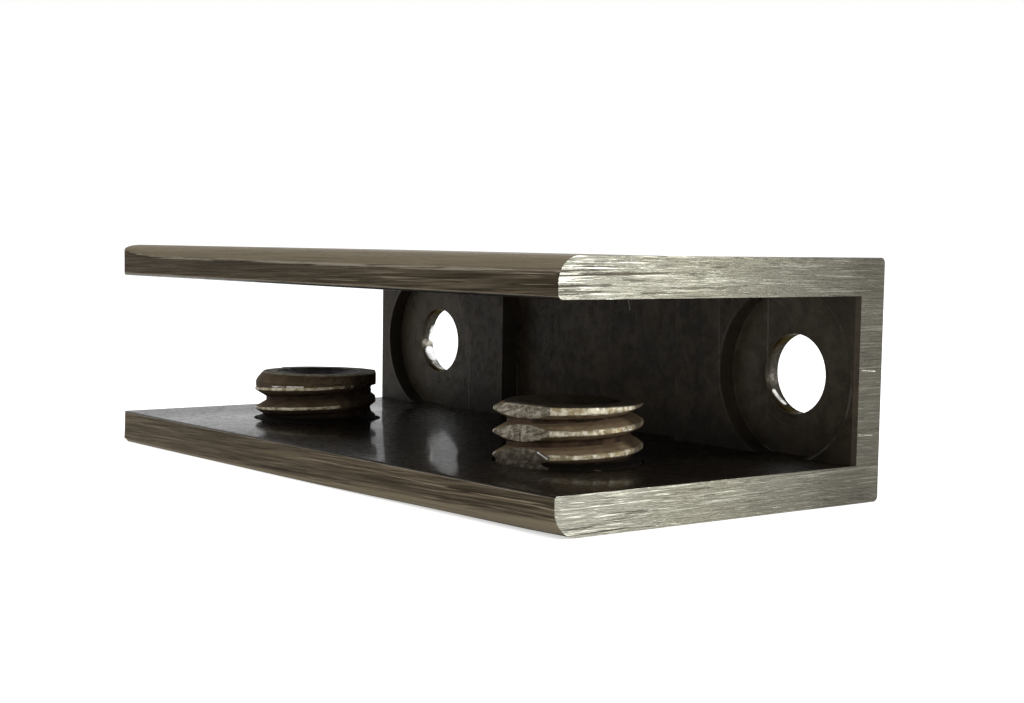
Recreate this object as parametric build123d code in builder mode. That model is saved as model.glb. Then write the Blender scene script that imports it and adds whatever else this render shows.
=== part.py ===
from build123d import *

import os
from math import ceil, radians, tan

# Glass panel clamp: a one-piece stainless channel that is screwed to a wall through its web,
# with two threaded set screws in its lower flange that press a glass panel against the upper
# flange. Millimetres, +Z up. The clamp lies on its lower flange, with the origin in the middle
# of its underside, X along its length, the mouth of the channel facing -Y and the wall at +Y.

# The channel
clamp_length = 54.6
clamp_depth = 27.2
clamp_height = 15.8
flange_thickness = 2.45
web_thickness = 2.4
upper_nose_radius = 1.5
lower_nose_radius = 1.7
upper_mouth_radius = 0.35
lower_mouth_radius = 0.2
back_corner_radius = 0.35
end_corner_radius = 0.3
web_end_chamfer = 0.25

# The two wall holes, each sunk in a round seat for its screw head
wall_hole_diameter = 5.4
wall_hole_spacing = 41.0
head_seat_diameter = 11.7
head_seat_depth = 1.2

# The cast pocket between the wall holes, and how far holes and pocket stand off the middle of
# the clamp, towards +X
pocket_width = 20.2
pocket_depth = 1.5
web_features_shift = 0.45

# The set screws and the holes that they turn in
screw_diameter = 9.8
thread_pitch = 1.5
screw_length = 6.0
screw_spacing = 30.8
screw_from_front = 10.9
screw_clearance = 0.06
screw_hole_chamfer = 0.35
tip_chamfer_width = 0.25
tip_chamfer_height = 0.3
foot_chamfer = 0.5
cup_diameter = 6.4
cup_depth = 1.2
socket_across_flats = 5.0
socket_depth = 3.2
socket_chamfer = 0.3

# Where each screw stands: its tip over the underside, the height of its thread crest on the
# +X side over the underside, and the flat that wear has left along its crests
near_tip_height = 6.37
near_crest_height = 0.34
near_flat_azimuth = -86.0
near_flat_depth = 0.8
far_tip_height = 6.12
far_crest_height = 0.74
far_flat_azimuth = 58.0
far_flat_depth = 0.35

# The thread's form: shares of its pitch, and the slope of its flanks
crest_flat_share = 1 / 8
thread_depth_share = 0.6
cutter_overrun_share = 0.05
flank_angle = 30.0

# Sizes and places that follow from those above
glass_gap = clamp_height - 2 * flange_thickness
slot_depth = clamp_depth - web_thickness
front = -clamp_depth / 2
back = clamp_depth / 2
web_face = back - web_thickness
mid_height = clamp_height / 2
front_radii = (lower_nose_radius, lower_mouth_radius, upper_mouth_radius, upper_nose_radius)
screw_axis_y = front + screw_from_front
screw_hole_diameter = screw_diameter + 2 * screw_clearance
screw_radius = screw_diameter / 2
root_radius = screw_radius - thread_depth_share * thread_pitch
cutter_radius = screw_radius + cutter_overrun_share * thread_pitch
flank_slope = tan(radians(flank_angle))
half_groove = (1 - crest_flat_share) * thread_pitch / 2
half_root = half_groove - (screw_radius - root_radius) * flank_slope
half_mouth = half_groove + (cutter_radius - screw_radius) * flank_slope
socket_mouth_radius = socket_across_flats / 2 + socket_chamfer

os.makedirs("parts", exist_ok=True)


def set_screw(axis_x, tip_height, crest_height, flat_azimuth, flat_depth):
    """Build a cup point set screw, standing in the lower flange with its socket at the bottom."""
    bottom = tip_height - screw_length
    groove_over_bottom = (crest_height + thread_pitch / 2 - bottom) % thread_pitch
    groove_start = bottom + groove_over_bottom - 2 * thread_pitch
    groove_turns = ceil(screw_length / thread_pitch) + 3
    foot = Vector(axis_x, screw_axis_y, bottom)
    screw_axis = Axis(foot, (0, 0, 1))
    foot_plane = Plane(foot)
    radial_plane = Plane(foot, x_dir=(1, 0, 0), z_dir=(0, -1, 0))
    flat_plane = foot_plane.rotated((0, 0, flat_azimuth))

    with BuildPart() as screw:
        # The blank is turned, with both ends chamfered so that the thread runs out there
        with BuildSketch(radial_plane):
            with BuildLine():
                Polyline(
                    (0, 0),
                    (screw_radius - foot_chamfer, 0),
                    (screw_radius, foot_chamfer),
                    (screw_radius, screw_length - tip_chamfer_height),
                    (screw_radius - tip_chamfer_width, screw_length),
                    (0, screw_length),
                    close=True,
                )
            make_face()
        revolve(axis=screw_axis)

        # The thread is cut turn by turn, by a vee that climbs a right-hand helix
        for turn in range(groove_turns):
            start = Vector(axis_x, screw_axis_y, groove_start + turn * thread_pitch)
            with BuildLine() as helix:
                Helix(thread_pitch, thread_pitch, screw_radius, center=start)
            with BuildSketch(Plane(start, x_dir=(1, 0, 0), z_dir=(0, -1, 0))):
                with BuildLine():
                    Polyline(
                        (root_radius, -half_root),
                        (cutter_radius, -half_mouth),
                        (cutter_radius, half_mouth),
                        (root_radius, half_root),
                        close=True,
                    )
                make_face()
            sweep(path=helix.line, is_frenet=True, mode=Mode.SUBTRACT)

        # The cup in the tip
        with BuildSketch(radial_plane):
            with BuildLine():
                Polyline(
                    (0, screw_length - cup_depth),
                    (cup_diameter / 2, screw_length),
                    (0, screw_length),
                    close=True,
                )
            make_face()
        revolve(axis=screw_axis, mode=Mode.SUBTRACT)

        # The hexagon socket in the foot, with its mouth opened by a cone
        with BuildSketch(foot_plane):
            RegularPolygon(socket_across_flats / 2, 6, major_radius=False)
        extrude(amount=socket_depth, mode=Mode.SUBTRACT)
        with BuildSketch(radial_plane):
            with BuildLine():
                Polyline(
                    (0, 0),
                    (socket_mouth_radius, 0),
                    (0, socket_mouth_radius),
                    close=True,
                )
            make_face()
        revolve(axis=screw_axis, mode=Mode.SUBTRACT)

        # The flat that wear has left along one side
        with BuildSketch(flat_plane):
            with Locations((screw_radius - flat_depth, 0)):
                Rectangle(screw_radius, screw_diameter, align=(Align.MIN, Align.CENTER))
        extrude(amount=screw_length, mode=Mode.SUBTRACT)
    return screw


# The clamp body, drawn out along its length from the channel's section
web_origin = Vector(web_features_shift, web_face, mid_height)
web_plane = Plane(origin=web_origin, x_dir=(1, 0, 0), z_dir=(0, -1, 0))

with BuildPart() as clamp_body:
    with BuildSketch(Plane.YZ.offset(-clamp_length / 2)) as section:
        Rectangle(clamp_depth, clamp_height, align=(Align.CENTER, Align.MIN))
        with Locations((front, flange_thickness)):
            Rectangle(slot_depth, glass_gap, align=(Align.MIN, Align.MIN), mode=Mode.SUBTRACT)
        fillet(section.vertices().group_by(Axis.X)[-1], radius=back_corner_radius)
        # From the bottom up; rounding a corner leaves its place in the order as it was
        for place, front_radius in enumerate(front_radii):
            front_corners = section.vertices().group_by(Axis.X)[0].sort_by(Axis.Y)
            fillet(front_corners[place], radius=front_radius)
    extrude(amount=clamp_length)

    # The upright front corner of the far end is rubbed round
    with BuildSketch(Plane.XY) as outline:
        Rectangle(clamp_length, clamp_depth)
        far_front_corner = outline.vertices().group_by(Axis.X)[0].sort_by(Axis.Y)[0]
        fillet(far_front_corner, radius=end_corner_radius)
    extrude(amount=clamp_height, mode=Mode.INTERSECT)

    # The web's inner edge is broken at both ends of the clamp
    with BuildSketch(Plane.XY.offset(flange_thickness)):
        with BuildLine():
            Polyline(
                (clamp_length / 2, web_face),
                (clamp_length / 2 - web_end_chamfer, web_face),
                (clamp_length / 2, web_face + web_end_chamfer),
                close=True,
            )
        make_face()
        mirror(about=Plane.YZ)
    extrude(amount=glass_gap, mode=Mode.SUBTRACT)

    # The cast pocket between the screws, as high as the gap
    with BuildSketch(web_plane):
        Rectangle(pocket_width, glass_gap)
    extrude(amount=-pocket_depth, mode=Mode.SUBTRACT)

    # The round seats are wider than the gap, so the flanges cut them off above and below
    with BuildSketch(web_plane):
        with GridLocations(wall_hole_spacing, 0, 2, 1):
            Circle(head_seat_diameter / 2)
        Rectangle(clamp_length, glass_gap, mode=Mode.INTERSECT)
    extrude(amount=-head_seat_depth, mode=Mode.SUBTRACT)
    with BuildSketch(web_plane):
        with GridLocations(wall_hole_spacing, 0, 2, 1):
            Circle(wall_hole_diameter / 2)
    extrude(amount=-web_thickness, mode=Mode.SUBTRACT)

    # The holes of the set screws, with a lead-in on the underside
    with BuildSketch(Plane.XY):
        with Locations((0, screw_axis_y)):
            with GridLocations(screw_spacing, 0, 2, 1):
                Circle(screw_hole_diameter / 2)
    extrude(amount=flange_thickness, mode=Mode.SUBTRACT)
    hole_mouths = clamp_body.edges().filter_by(GeomType.CIRCLE).group_by(Axis.Z)[0]
    chamfer(hole_mouths, length=screw_hole_chamfer)

clamp_body.part.label = "clamp_body"
export_step(clamp_body.part, "parts/clamp_body.step")

# The two set screws: they are alike, and turned in to slightly different heights
set_screw_near = set_screw(
    screw_spacing / 2, near_tip_height, near_crest_height, near_flat_azimuth, near_flat_depth
)
set_screw_near.part.label = "set_screw_near"
export_step(set_screw_near.part, "parts/set_screw_near.step")

set_screw_far = set_screw(
    -screw_spacing / 2, far_tip_height, far_crest_height, far_flat_azimuth, far_flat_depth
)
set_screw_far.part.label = "set_screw_far"
export_step(set_screw_far.part, "parts/set_screw_far.step")
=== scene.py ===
"""Looks of the glass panel clamp: a worn stainless channel with two set screws, on a pale floor."""

import logging
import math
from dataclasses import dataclass, field
from enum import Enum

import bmesh
import bpy
from mathutils import Matrix, Vector, noise


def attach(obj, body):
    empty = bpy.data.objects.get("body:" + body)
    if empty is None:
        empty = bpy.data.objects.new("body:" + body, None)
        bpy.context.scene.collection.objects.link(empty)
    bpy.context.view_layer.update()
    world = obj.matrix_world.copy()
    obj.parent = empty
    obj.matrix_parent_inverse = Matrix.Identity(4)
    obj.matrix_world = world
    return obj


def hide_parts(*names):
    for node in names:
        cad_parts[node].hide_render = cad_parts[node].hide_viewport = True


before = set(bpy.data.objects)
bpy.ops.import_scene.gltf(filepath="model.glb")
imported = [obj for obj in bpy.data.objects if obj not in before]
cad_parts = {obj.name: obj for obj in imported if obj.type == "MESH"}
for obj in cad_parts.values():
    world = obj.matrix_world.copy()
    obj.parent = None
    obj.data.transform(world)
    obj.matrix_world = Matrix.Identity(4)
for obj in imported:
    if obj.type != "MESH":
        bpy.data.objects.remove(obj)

log = logging.getLogger("glass_panel_clamp")

MM = 0.001
Colour = tuple[float, float, float]
Place = tuple[float, float, float]
Span = tuple[float, float]
Socket = bpy.types.NodeSocket
Tree = bpy.types.NodeTree
Verts = list[bmesh.types.BMVert]

NUMBER = "NodeSocketFloat"
WHITE: Colour = (1.0, 1.0, 1.0)
DUST: Colour = (0.4, 0.38, 0.33)
BARE_METAL: Colour = (0.95, 0.94, 0.9)


def held(value: float) -> float:
    """Hold a value between 0 and 1."""
    return min(1.0, max(0.0, value))


def towards(angle: float, azimuth: float) -> float:
    """Give how squarely an angle faces an azimuth, with 0 for all that is beside or behind it."""
    return max(0.0, math.cos(angle - azimuth))


def uneven(place: Vector) -> float:
    """Give smooth noise about nought at a place."""
    return noise.fractal(place, 1.0, 2.0, 3)


class Face(Enum):
    """The finishes of the clamp's faces, in the order of its material slots."""

    SANDED_END = 0
    DRAWN_FRONT = 1
    OUTER_SKIN = 2
    POLISHED_FLOOR = 3
    CAST_WEB = 4
    HEAD_SEAT = 5
    SEAT_WALL = 6
    BORE = 7


class NodePad:
    """Adds nodes to one node tree and joins them, so that a finish reads as a list of steps."""

    def __init__(self, tree: Tree) -> None:
        """Take the tree that the nodes go into."""
        self.tree = tree

    def feed(self, socket: Socket, value: object) -> None:
        """Give an input either a link or a plain value.

        Args:
            socket: The input.
            value: An output socket, or the value to write.
        """
        if isinstance(value, bpy.types.NodeSocket):
            self.tree.links.new(value, socket)
        elif socket.type == "RGBA" and len(value) == 3:
            socket.default_value = (*value, 1.0)
        else:
            socket.default_value = value

    def add(self, kind: str, *values: object, **settings: object) -> bpy.types.Node:
        """Add a node.

        Args:
            kind: The node's type name in Blender.
            values: Its first inputs, in order.
            settings: Properties to set on it.

        Returns:
            The new node.
        """
        node = self.tree.nodes.new(kind)
        for name, value in settings.items():
            setattr(node, name, value)
        for socket, value in zip(node.inputs, values):
            self.feed(socket, value)
        return node

    def math(self, operation: str, *values: object) -> Socket:
        """Work out one operation on numbers."""
        return self.add("ShaderNodeMath", *values, operation=operation).outputs[0]

    def plus(self, first: object, second: object) -> Socket:
        """Add two values."""
        return self.math("ADD", first, second)

    def minus(self, first: object, second: object) -> Socket:
        """Take the second value from the first."""
        return self.math("SUBTRACT", first, second)

    def rest(self, share: Socket) -> Socket:
        """Give what a share leaves of one."""
        return self.minus(1.0, share)

    def times(self, product: object, *factors: object) -> object:
        """Multiply values.

        Args:
            product: The first value.
            factors: The other values.

        Returns:
            Their product, which is the first value itself where there is no other.
        """
        for factor in factors:
            product = self.math("MULTIPLY", product, factor)
        return product

    def length(self, first: Socket, second: Socket) -> Socket:
        """Give the length of a line from its two legs."""
        square = self.plus(self.times(first, first), self.times(second, second))
        return self.math("SQRT", square)

    def outward(self, across: Socket, deep: Socket, azimuth: float) -> Socket:
        """Give how far out a place is in the direction of an azimuth."""
        reach = (self.times(across, math.cos(azimuth)), self.times(deep, math.sin(azimuth)))
        return self.plus(*reach)

    def vector(self, operation: str, *values: object) -> bpy.types.NodeOutputs:
        """Work out one operation on vectors, and give the vector and the value."""
        return self.add("ShaderNodeVectorMath", *values, operation=operation).outputs

    def ramp(self, share: Socket, stops: tuple[tuple[float, Colour], ...]) -> Socket:
        """Add a colour ramp.

        Args:
            share: Where on the ramp to read, 0 to 1.
            stops: The ramp's places and colours, in order.

        Returns:
            The colour there.
        """
        node = self.add("ShaderNodeValToRGB", share)
        bar = node.color_ramp.elements
        while len(bar) < len(stops):
            bar.new(0.5)
        for element, (place, colour) in zip(bar, stops):
            element.position = place
            element.color = (*colour, 1.0)
        return node.outputs[0]

    def span(
        self, value: object, low: object, high: object, start: float = 0.0, end: float = 1.0,
        form: str = "SMOOTHSTEP",
    ) -> Socket:
        """Map a value from one span to another, and hold it there.

        Args:
            value: The value to map.
            low: Where the span starts.
            high: Where it ends.
            start: The result at the start.
            end: The result at the end.
            form: The way it goes from one to the other, by Blender's name.

        Returns:
            The mapped value.
        """
        kind = "ShaderNodeMapRange"
        return self.add(kind, value, low, high, start, end, interpolation_type=form).outputs[0]

    def grade(self, share: Socket, start: float, end: float) -> Socket:
        """Map a share of 0 to 1 smoothly to the values from start to end."""
        return self.span(share, 0.0, 1.0, start, end)

    def blend(self, share: object, first: object, second: object) -> Socket:
        """Mix two colours.

        Args:
            share: How much of the second shows.
            first: The first colour.
            second: The second colour.

        Returns:
            The mixed colour.
        """
        node = self.add("ShaderNodeMix", share, data_type="RGBA")
        self.feed(node.inputs[6], first)
        self.feed(node.inputs[7], second)
        return node.outputs[2]

    def lay(self, base: object, colour: object, *shares: object) -> Socket:
        """Lay a colour over another one, as strongly as the shares' product."""
        return self.blend(self.times(*shares), base, colour)

    def noise(
        self, vector: Socket, scale: object, detail: float = 4.0, rough: float = 0.5,
        warp: object = 0.0,
    ) -> Socket:
        """Add a noise texture.

        Args:
            vector: Where it is read.
            scale: How fine it is.
            detail: How many finer layers it has.
            rough: How strong the finer layers are.
            warp: How far it is warped.

        Returns:
            The noise, about 0.3 to 0.7.
        """
        node = self.add("ShaderNodeTexNoise", vector)
        for name, value in (
            ("Scale", scale), ("Detail", detail), ("Roughness", rough), ("Distortion", warp),
        ):
            self.feed(node.inputs[name], value)
        return node.outputs["Fac"]

    def ragged(self, vector: Socket, scale: float, detail: float, reach: float) -> Socket:
        """Give noise about nought, times a reach, to make an edge uneven."""
        return self.times(self.minus(self.noise(vector, scale, detail), 0.5), reach)

    def stretched(self, vector: Socket, scale: Place, turn: Place = (0.0, 0.0, 0.0)) -> Socket:
        """Turn and then scale a vector, to stretch a texture.

        Args:
            vector: The vector.
            scale: Its factors along X, Y and Z.
            turn: The angles in radians that it is turned by first.

        Returns:
            The new vector.
        """
        turned = self.add("ShaderNodeMapping", vector, vector_type="POINT")
        self.feed(turned.inputs["Rotation"], turn)
        return self.vector("MULTIPLY", turned.outputs[0], scale)[0]

    def split(self, vector: Socket) -> bpy.types.NodeOutputs:
        """Split a vector into its X, Y and Z."""
        return self.add("ShaderNodeSeparateXYZ", vector).outputs

    def group(self, tree: Tree, **values: object) -> dict[str, Socket]:
        """Place a node group.

        Args:
            tree: The group's tree.
            values: Its inputs by name, with underscores for spaces.

        Returns:
            Its outputs by name.
        """
        node = self.add("ShaderNodeGroup", node_tree=tree)
        for name, value in values.items():
            self.feed(node.inputs[name.replace("_", " ")], value)
        return {socket.name: socket for socket in node.outputs}


class Effects:
    """The node groups that the finishes share, each made once."""

    # The layers of the sanding grain: share of the scale, detail, roughness, and noise at 0 and 1
    GRAIN_LAYERS = {
        "Lines": (1.0, 3.0, 0.6, 0.38, 0.62),
        "Streaks": (0.2, 3.0, 0.55, 0.36, 0.64),
        "Cuts": (0.6, 2.0, 0.6, 0.40, 0.34),
        # The glints are painted highlights: sparse bright lines laid into the colour
        "PaintedGlints": (0.8, 2.0, 0.6, 0.60, 0.67),
    }
    GRAIN_SHIFT = (31.0, 17.0, 7.0)

    def __init__(self) -> None:
        """Make every group."""
        self.grain = self.make_grain()
        self.grime = self.make_grime()
        self.ring = self.make_ring()
        self.line = self.make_line()

    @staticmethod
    def start(name: str, vectors: str, numbers: str) -> tuple[NodePad, dict[str, Socket]]:
        """Start a group.

        Args:
            name: The group's name.
            vectors: The names of its vector inputs, with commas between them.
            numbers: The names of its number inputs, with commas between them.

        Returns:
            A pad on its tree, and its inputs by name.
        """
        tree = bpy.data.node_groups.new(name, "ShaderNodeTree")
        for names, kind in ((vectors, "NodeSocketVector"), (numbers, NUMBER)):
            for socket in names.split(", "):
                tree.interface.new_socket(name=socket, in_out="INPUT", socket_type=kind)
        pad = NodePad(tree)
        source = pad.add("NodeGroupInput")
        return pad, {socket.name: socket for socket in source.outputs if socket.name}

    @staticmethod
    def give(pad: NodePad, results: dict[str, Socket]) -> Tree:
        """Close a group with its results.

        Args:
            pad: The pad on its tree.
            results: Its masks and values by name.

        Returns:
            The group.
        """
        for name in results:
            pad.tree.interface.new_socket(name=name, in_out="OUTPUT", socket_type=NUMBER)
        pad.add("NodeGroupOutput", *results.values())
        return pad.tree

    def make_grain(self) -> Tree:
        """Make the grain of sanding: long fine lines, broad streaks, deep cuts, and bright glints
        that are painted highlights.

        Returns:
            The group, whose vector is already stretched along the grain.
        """
        pad, given = self.start("Sanding grain", "Vector", "Scale, Waver")
        read = {}
        for name, (share, detail, rough, low, high) in self.GRAIN_LAYERS.items():
            shift = tuple(share * step for step in self.GRAIN_SHIFT)
            moved = pad.vector("ADD", given["Vector"], shift)[0]
            scale = pad.times(given["Scale"], share)
            found = pad.noise(moved, scale, detail, rough, given["Waver"])
            read[name] = pad.span(found, low, high)
        height = pad.plus(pad.times(read["Lines"], 0.5), pad.times(read["Streaks"], 0.2))
        read["Height"] = pad.minus(height, pad.times(read["Cuts"], 0.6))
        return self.give(pad, read)

    def make_grime(self) -> Tree:
        """Make grime: soft stains, fine dust and a few small light specks.

        Returns:
            The group.
        """
        pad, given = self.start("Grime", "Vector", "Scale, Cover")
        vector, scale = given["Vector"], given["Scale"]
        stain = pad.noise(vector, scale, 5.0, 0.6)
        dust = pad.noise(vector, pad.times(scale, 9.0), 3.0)
        cells = pad.add("ShaderNodeTexVoronoi", vector, feature="F1")
        pad.feed(cells.inputs["Scale"], pad.times(scale, 4.0))
        pick, size, _ = pad.split(cells.outputs["Color"])
        few = pad.math("GREATER_THAN", pick, 0.86)
        dots = pad.math("LESS_THAN", cells.outputs["Distance"], pad.times(size, 0.14))
        edge = pad.times(pad.rest(given["Cover"]), 0.6)
        return self.give(pad, {
            "Stain": pad.span(stain, edge, 0.72),
            "Dust": pad.span(dust, 0.42, 0.68),
            "Specks": pad.times(few, dots),
        })

    def make_ring(self) -> Tree:
        """Make a thin ring about an axis along Y, such as the burr round a seat's rim, whose light
        tone is partly a painted highlight.

        Returns:
            The group.
        """
        pad, given = self.start("Ring line", "Vector", "Centre X, Centre Z, Radius, Width")
        vector, width = given["Vector"], given["Width"]
        x, _, z = pad.split(vector)
        reach = pad.length(pad.minus(x, given["Centre X"]), pad.minus(z, given["Centre Z"]))
        waver = pad.ragged(vector, 500.0, 2.0, 0.2 * MM)
        off = pad.math("ABSOLUTE", pad.plus(pad.minus(reach, given["Radius"]), waver))
        broken = pad.span(pad.noise(vector, 260.0, 4.0, 0.65), 0.42, 0.6, 0.1, 1.0)
        return self.give(pad, {"Ring": pad.times(pad.span(off, 0.0, width, 1.0, 0.0), broken)})

    def make_line(self) -> Tree:
        """Make a thin straight mark from one point to another, broken by noise.

        Returns:
            The group.
        """
        pad, given = self.start("Line mark", "Vector, From, To", "Width, Broken")
        off = pad.vector("SUBTRACT", given["Vector"], given["From"])[0]
        run = pad.vector("SUBTRACT", given["To"], given["From"])[0]
        dots = [pad.vector("DOT_PRODUCT", side, run)[1] for side in (off, run)]
        share = pad.add("ShaderNodeMath", *dots, operation="DIVIDE", use_clamp=True).outputs[0]
        along = pad.add("ShaderNodeVectorMath", run, operation="SCALE")
        pad.feed(along.inputs["Scale"], share)
        away = pad.vector("DISTANCE", off, along.outputs[0])[1]
        whole = pad.span(away, pad.times(given["Width"], 0.4), given["Width"], 1.0, 0.0)
        gaps = pad.rest(pad.span(pad.noise(given["Vector"], 2200.0, 2.0), 0.4, 0.55))
        kept = pad.rest(pad.times(given["Broken"], gaps))
        return self.give(pad, {"Line": pad.times(whole, kept)})


class Canvas(NodePad):
    """A pad on a material's tree, with the shared effects and the place on the piece in metres."""

    def __init__(self, tree: Tree, effects: Effects) -> None:
        """Take the tree and the effects, and read the place.

        Args:
            tree: The material's tree.
            effects: The shared node groups.
        """
        super().__init__(tree)
        self.effects = effects
        self.at = self.add("ShaderNodeTexCoord").outputs["Object"]
        self.x, self.y, self.z = self.split(self.at)

    def rise(self) -> Socket:
        """Give how far the surface faces up: the Z of its own normal."""
        return self.split(self.add("ShaderNodeTexCoord").outputs["Normal"])[2]

    def grain(
        self, scale: float, stretch: Place, turn: Place, waver: float = 0.0
    ) -> dict[str, Socket]:
        """Place the sanding grain, drawn out along one way."""
        vector = self.stretched(self.at, stretch, turn)
        return self.group(self.effects.grain, Vector=vector, Scale=scale, Waver=waver)

    def grime(
        self, scale: float, cover: float = 0.5, stretch: Place = (1.0, 1.0, 1.0)
    ) -> dict[str, Socket]:
        """Place the grime."""
        vector = self.stretched(self.at, stretch)
        return self.group(self.effects.grime, Vector=vector, Scale=scale, Cover=cover)


@dataclass(frozen=True)
class Mark:
    """One scratch, smear, speck or patch of painted light: its ends in millimetres, half width,
    tone and strength.
    """

    start: Place
    end: Place
    width: float
    tone: Colour
    strength: float = 1.0
    broken: float = 0.6

    def lay(self, pad: Canvas, base: Socket) -> Socket:
        """Lay the mark over a colour.

        Args:
            pad: The canvas of the finish.
            base: The colour so far.

        Returns:
            The colour with the mark on it.
        """
        start, end = (tuple(value * MM for value in place) for place in (self.start, self.end))
        found = pad.group(
            pad.effects.line, Vector=pad.at, From=start, To=end,
            Width=self.width * MM, Broken=self.broken,
        )
        return pad.lay(base, self.tone, found["Line"], self.strength)


@dataclass(frozen=True)
class Ring:
    """One ring about an axis along Y: middle, radius and half width in millimetres, and tone."""

    x: float
    z: float
    radius: float
    width: float
    tone: Colour
    strength: float = 1.0

    def lay(self, pad: Canvas, base: Socket) -> Socket:
        """Lay the ring over a colour.

        Args:
            pad: The canvas of the finish.
            base: The colour so far.

        Returns:
            The colour with the ring on it.
        """
        found = pad.group(
            pad.effects.ring, Vector=pad.at, Centre_X=self.x * MM, Centre_Z=self.z * MM,
            Radius=self.radius * MM, Width=self.width * MM,
        )
        return pad.lay(base, self.tone, found["Ring"], self.strength)


@dataclass(frozen=True)
class Skin:
    """What a finish works out: colour, roughness, bump height, its depth in metres, and gloss."""

    colour: Socket
    roughness: Socket
    height: Socket
    depth: float
    gloss: Socket | float = 0.0


@dataclass(frozen=True)
class Finish:
    """What every finish has: its name, the plain numbers of its shader, and the marks on it."""

    name: str
    metallic: float = 1.0
    specular: float = 0.5
    coat_roughness: float = 0.1
    edge_tint: Colour = WHITE
    marks: tuple[Mark, ...] = ()
    rings: tuple[Ring, ...] = ()

    def paint(self, pad: Canvas) -> Skin:
        """Work out the finish without its marks; each kind of finish has its own way.

        Args:
            pad: The canvas to paint on.

        Returns:
            What the shader needs.
        """
        raise NotImplementedError

    def make(self, effects: Effects) -> bpy.types.Material:
        """Make the material.

        Args:
            effects: The shared node groups.

        Returns:
            The material.
        """
        material = bpy.data.materials.new(self.name)
        material.use_nodes = True
        pad = Canvas(material.node_tree, effects)
        skin = self.paint(pad)
        colour = skin.colour
        for mark in (*self.rings, *self.marks):
            colour = mark.lay(pad, colour)
        bump = pad.add("ShaderNodeBump")
        pad.feed(bump.inputs["Height"], skin.height)
        pad.feed(bump.inputs["Distance"], skin.depth)
        shader = material.node_tree.nodes["Principled BSDF"]
        for name, value in (
            ("Metallic", self.metallic), ("Specular IOR Level", self.specular),
            ("Specular Tint", self.edge_tint), ("Coat Roughness", self.coat_roughness),
            ("Coat Weight", skin.gloss), ("Base Color", colour),
            ("Roughness", skin.roughness), ("Normal", bump.outputs["Normal"]),
        ):
            pad.feed(shader.inputs[name], value)
        return material


@dataclass(frozen=True)
class SandedEnd(Finish):
    """A sawn end that was sanded along the flanges: bare in front and dull at the web, with a
    painted light falloff from the bright front to the dark back.
    """

    wear_and_falloff_tones: tuple[tuple[float, Colour], ...] = (
        (0.0, (0.29, 0.285, 0.236)), (0.15, (0.265, 0.259, 0.21)),
        (0.36, (0.222, 0.214, 0.166)), (0.70, (0.122, 0.117, 0.092)),
        (0.92, (0.074, 0.069, 0.054)), (1.0, (0.074, 0.069, 0.054)),
    )
    cut: Colour = (0.035, 0.028, 0.018)
    painted_glint_front: Colour = (0.92, 0.92, 0.8)
    painted_glint_back: Colour = (0.3, 0.29, 0.24)
    front: float = -13.6 * MM
    back: float = 13.6 * MM

    def paint(self, pad: Canvas) -> Skin:
        """Paint the end.

        Args:
            pad: The canvas to paint on.

        Returns:
            What the shader needs.
        """
        # Two layers of sanding lines along Y cross at a narrow angle
        fine = pad.grain(175.0, (66.0, 1.9, 66.0), (0.01, 0.0, 0.0))
        deep = pad.grain(105.0, (66.0, 1.6, 66.0), (-0.01, 0.0, 0.0))
        # The ramp along Y is partly wear and partly a painted light falloff, bright at the front
        # and dark towards the web
        cloud = pad.ragged(pad.at, 260.0, 3.0, 6 * MM)
        share = pad.span(pad.plus(pad.y, cloud), self.front, self.back, form="LINEAR")
        base = pad.ramp(share, self.wear_and_falloff_tones)
        # All lines are strong where the steel is bare, and weak towards the web
        bare = pad.span(share, 0.1, 0.6, 1.0, 0.32)
        dull = pad.blend(0.5, base, self.cut)
        base = pad.lay(base, dull, pad.rest(fine["Lines"]), bare, 0.5)
        cuts = pad.math("MAXIMUM", pad.times(fine["Cuts"], 0.8), deep["Cuts"])
        base = pad.lay(base, self.cut, cuts, bare, 0.85)
        # Painted highlights: sparse bright glints, near white at the front and dimmer towards the
        # back
        painted_glints = pad.math("MAXIMUM", fine["PaintedGlints"], deep["PaintedGlints"])
        painted_glint = pad.blend(share, self.painted_glint_front, self.painted_glint_back)
        base = pad.lay(base, painted_glint, painted_glints, bare, 0.6)
        rough = pad.grade(fine["Lines"], 0.42, 0.3)
        return Skin(base, rough, fine["Height"], 0.03 * MM)


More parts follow.
